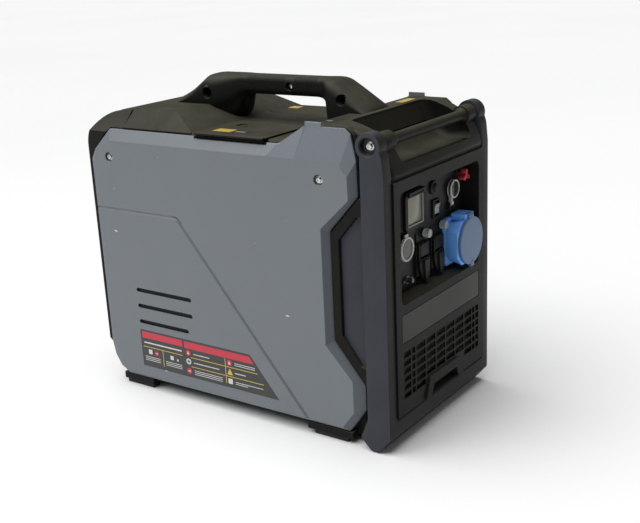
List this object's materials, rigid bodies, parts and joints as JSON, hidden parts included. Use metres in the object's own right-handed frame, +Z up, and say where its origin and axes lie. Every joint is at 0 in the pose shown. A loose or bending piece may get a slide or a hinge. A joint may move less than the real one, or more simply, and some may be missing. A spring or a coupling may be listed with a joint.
{
  "type": "portable inverter generator",
  "caption": "Closed suitcase-style petrol inverter generator with a carry handle, front grab bar, hinged fuel lid and a recessed socket panel.",
  "frame": {"origin": "on the floor, under the middle of the generator's bounding box", "axes": "+Z up, the control panel faces -Y, +X is the side away from the fuel lid"},
  "size_m": [0.35, 0.648, 0.58],
  "materials": {
    "black_plastic": "fine moulded grain, satin",
    "slate_plastic": "fine moulded grain, satin",
    "grey_panel": "smooth satin, a few pale scuffs",
    "label_film": "satin film, blank",
    "rubber": "matt",
    "zinc_steel": "bright zinc",
    "control_black": "satin",
    "rocker_grey": "gloss",
    "display_glass": "gloss",
    "clear_plastic": "clear, gloss",
    "breaker_boot": "frosted",
    "lamp_white": "gloss",
    "red_plastic": "gloss",
    "cee_blue": "semi-gloss",
    "cee_lid_blue": "satin",
    "cast_aluminium": "as cast",
    "machined_steel": "ground",
    "fan_aluminium": "as cast",
    "inner_black": "moulded",
    "copper_winding": "enamelled wire",
    "rotor_steel": "machined",
    "muffler_steel": "heat-tinted",
    "motor_paint": "satin",
    "plug_ceramic": "glazed"
  },
  "bodies": {
    "case": {"base_tray": "black_plastic", "rubber_feet": "rubber", "front_frame": "slate_plastic", "front_panel": "black_plastic", "control_pan": "black_plastic", "label_plate": "label_film", "top_cover": "black_plastic", "rear_cover": "black_plastic", "left_panel": "grey_panel", "right_panel": "grey_panel", "left_insert": "black_plastic", "right_insert": "black_plastic", "handle_left": "black_plastic", "handle_right": "black_plastic", "handle_bolts": "zinc_steel", "grab_bar": "black_plastic", "panel_bolts": "zinc_steel", "frame_bolts": "zinc_steel", "lcd_housing": "control_black", "lcd_glass": "display_glass", "start_button_ring": "control_black", "eco_switch_frame": "control_black", "engine_switch": "control_black", "fuel_knob_bezel": "control_black", "breaker_bodies": "control_black", "indicator_lamps": "lamp_white", "socket_left": "control_black", "socket_right": "control_black", "cee_socket": "cee_blue", "dc_socket": "control_black", "ground_terminal": "zinc_steel", "exhaust_outlet": "zinc_steel", "engine_crankcase": "cast_aluminium", "engine_cylinder": "cast_aluminium", "fan_shroud": "inner_black", "alternator_stator": "copper_winding", "muffler": "muffler_steel", "carburettor": "cast_aluminium", "air_filter_box": "inner_black", "fuel_tank": "inner_black", "inverter_module": "cast_aluminium", "battery": "inner_black", "starter_motor": "motor_paint", "spark_plug": "plug_ceramic", "engine_mounts": "rubber"},
    "fuel_lid": {"fuel_lid": "black_plastic"},
    "fuel_cap": {"fuel_cap": "control_black"},
    "start_button": {"start_button": "control_black"},
    "eco_rocker": {"eco_rocker": "rocker_grey"},
    "switch_guard": {"switch_guard": "clear_plastic"},
    "fuel_knob": {"fuel_knob": "red_plastic"},
    "breaker_button_left": {"breaker_button_left": "breaker_boot"},
    "breaker_button_right": {"breaker_button_right": "breaker_boot"},
    "socket_left_lid": {"socket_left_lid": "control_black"},
    "socket_right_lid": {"socket_right_lid": "control_black"},
    "cee_lid": {"cee_lid": "cee_lid_blue"},
    "dc_cap": {"dc_cap": "clear_plastic"},
    "engine_shaft": {"crankshaft": "machined_steel", "flywheel_fan": "fan_aluminium", "alternator_rotor": "rotor_steel"}
  },
  "joints": [
    {"name": "fuel_lid_hinge", "type": "hinge", "parent": "case", "child": "fuel_lid", "pos_m": [-0.165, -0.012, 0.5], "axis": [0, -1, 0], "range_deg": [0, 110]},
    {"name": "fuel_cap_turn", "type": "hinge", "parent": "case", "child": "fuel_cap", "pos_m": [-0.1, -0.014, 0.485], "axis": [0, 0, 1], "range_deg": [0, 90]},
    {"name": "start_button_press", "type": "slide", "parent": "case", "child": "start_button", "axis": [0, 1, 0], "range_m": [0, 0.0025], "stiffness_N_per_m": 400},
    {"name": "eco_rocker_tip", "type": "hinge", "parent": "case", "child": "eco_rocker", "pos_m": [0.036, -0.273, 0.362], "axis": [1, 0, 0], "range_deg": [-16, 0]},
    {"name": "switch_guard_flip", "type": "hinge", "parent": "case", "child": "switch_guard", "pos_m": [0.084, -0.287, 0.357], "axis": [1, 0, 0], "range_deg": [0, 95], "stiffness_Nm_per_rad": 0.01, "springref_deg": -28.65},
    {"name": "fuel_knob_turn", "type": "hinge", "parent": "case", "child": "fuel_knob", "pos_m": [0.119, -0.272, 0.403], "axis": [0, 1, 0], "range_deg": [0, 90]},
    {"name": "breaker_left_press", "type": "slide", "parent": "case", "child": "breaker_button_left", "axis": [0, 1, 0], "range_m": [0, 0.003], "stiffness_N_per_m": 500},
    {"name": "breaker_right_press", "type": "slide", "parent": "case", "child": "breaker_button_right", "axis": [0, 1, 0], "range_m": [0, 0.003], "stiffness_N_per_m": 500},
    {"name": "socket_left_lid_flip", "type": "hinge", "parent": "case", "child": "socket_left_lid", "pos_m": [-0.017, -0.276, 0.314], "axis": [-1, 0, 0], "range_deg": [0, 85], "stiffness_Nm_per_rad": 0.02, "springref_deg": -17.19},
    {"name": "socket_right_lid_flip", "type": "hinge", "parent": "case", "child": "socket_right_lid", "pos_m": [0.0335, -0.276, 0.314], "axis": [-1, 0, 0], "range_deg": [0, 85], "stiffness_Nm_per_rad": 0.02, "springref_deg": -17.19},
    {"name": "cee_lid_flip", "type": "hinge", "parent": "case", "child": "cee_lid", "pos_m": [0.097, -0.318, 0.34], "axis": [-1, 0, 0], "range_deg": [0, 100], "stiffness_Nm_per_rad": 0.05, "springref_deg": -17.19},
    {"name": "dc_cap_flip", "type": "hinge", "parent": "case", "child": "dc_cap", "pos_m": [-0.073, -0.287, 0.3425], "axis": [-1, 0, 0], "range_deg": [0, 90], "stiffness_Nm_per_rad": 0.01, "springref_deg": -17.19},
    {"name": "engine_spin", "type": "hinge", "parent": "case", "child": "engine_shaft", "pos_m": [0, 0, 0.185], "axis": [0, 1, 0], "continuous": true}
  ]
}
